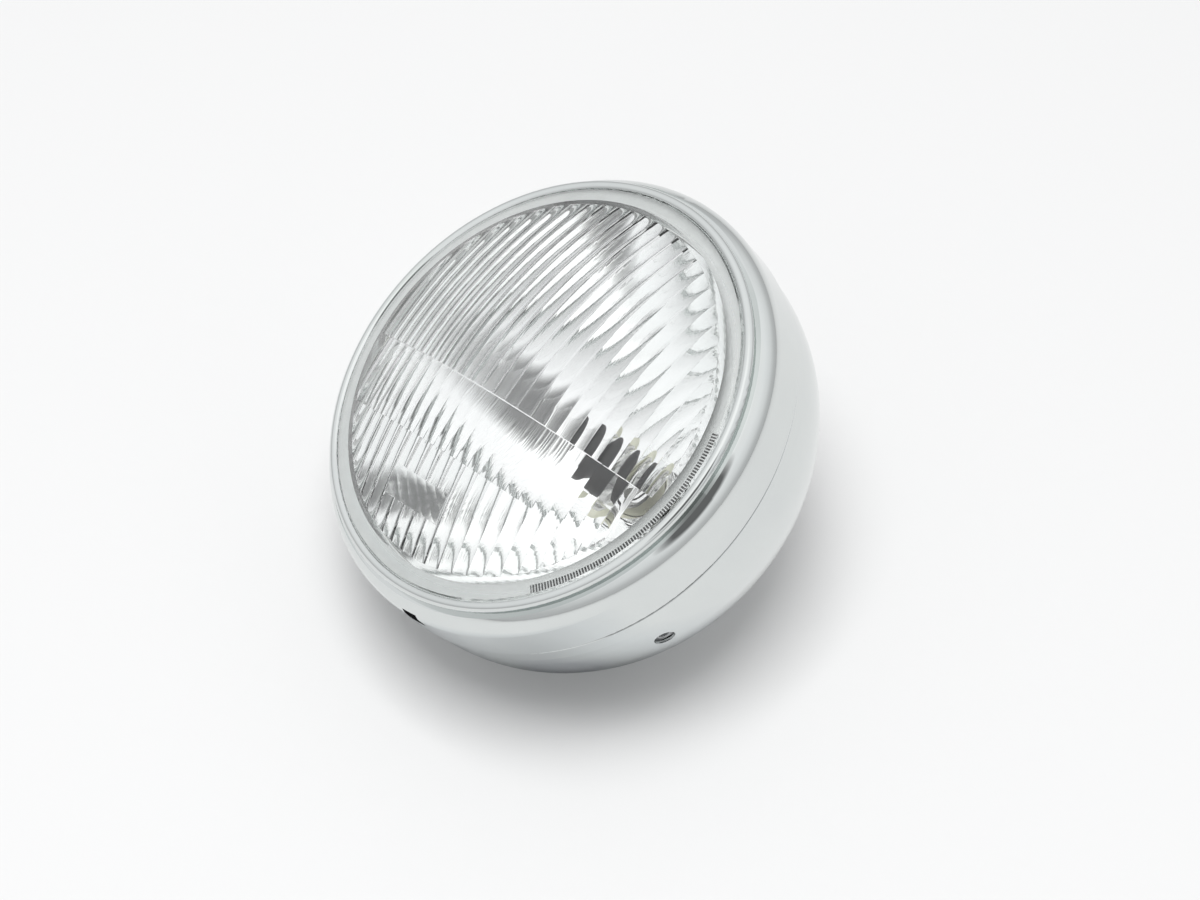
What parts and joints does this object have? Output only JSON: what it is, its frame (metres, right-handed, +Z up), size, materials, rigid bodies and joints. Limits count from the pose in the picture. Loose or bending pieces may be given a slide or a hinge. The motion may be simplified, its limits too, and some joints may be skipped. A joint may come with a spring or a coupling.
{
  "type": "motorcycle headlight",
  "caption": "Round motorcycle headlight: domed fluted glass lens in a beaded chrome rim, on a bowl-shaped chrome bucket with a tapped bottom boss and a rear cable inlet.",
  "frame": {"origin": "centre of the bounding box, which lies on the lamp's axis", "axes": "-Y is the way the lens looks, +Z is up when the lamp stands on its bottom mount, +X is to the right as one faces the lens"},
  "size_m": [0.1606, 0.1128, 0.1606],
  "materials": {
    "lens": "clear moulded glass",
    "lens_seal": "matt light grey",
    "reflector": "mirror-bright metallised dish",
    "spring": "bright spring steel",
    "rim": "bright chrome",
    "bracket": "zinc plated",
    "bucket": "bright chrome",
    "boss": "zinc plated",
    "grommet": "matt black",
    "collar": "yellow passivated",
    "bulb_glass": "clear glass with a black painted tip",
    "bulb_cap": "bright steel",
    "filament": "dull grey wire",
    "insulator": "black moulding",
    "boot": "matt black"
  },
  "bodies": {
    "root": {"lens": "lens", "lens_seal": "lens_seal", "reflector": "reflector", "unit_clips": "spring", "rim": "rim", "rim_bracket_right": "bracket", "rim_bracket_left": "bracket", "bracket_nuts": "bracket", "rim_top_tongue": "bracket", "bucket": "bucket", "mount_boss": "boss", "cable_grommet": "grommet", "bulb_collar": "collar", "bulb_capsule": "bulb_glass", "bulb_cap": "bulb_cap", "bulb_filament_main": "filament", "bulb_filament_dip": "filament", "bulb_dip_shield": "filament", "bulb_supports": "filament", "bulb_insulator": "insulator", "bulb_terminals": "bulb_cap", "bulb_spring": "spring", "bulb_boot": "boot"}
  },
  "joints": []
}
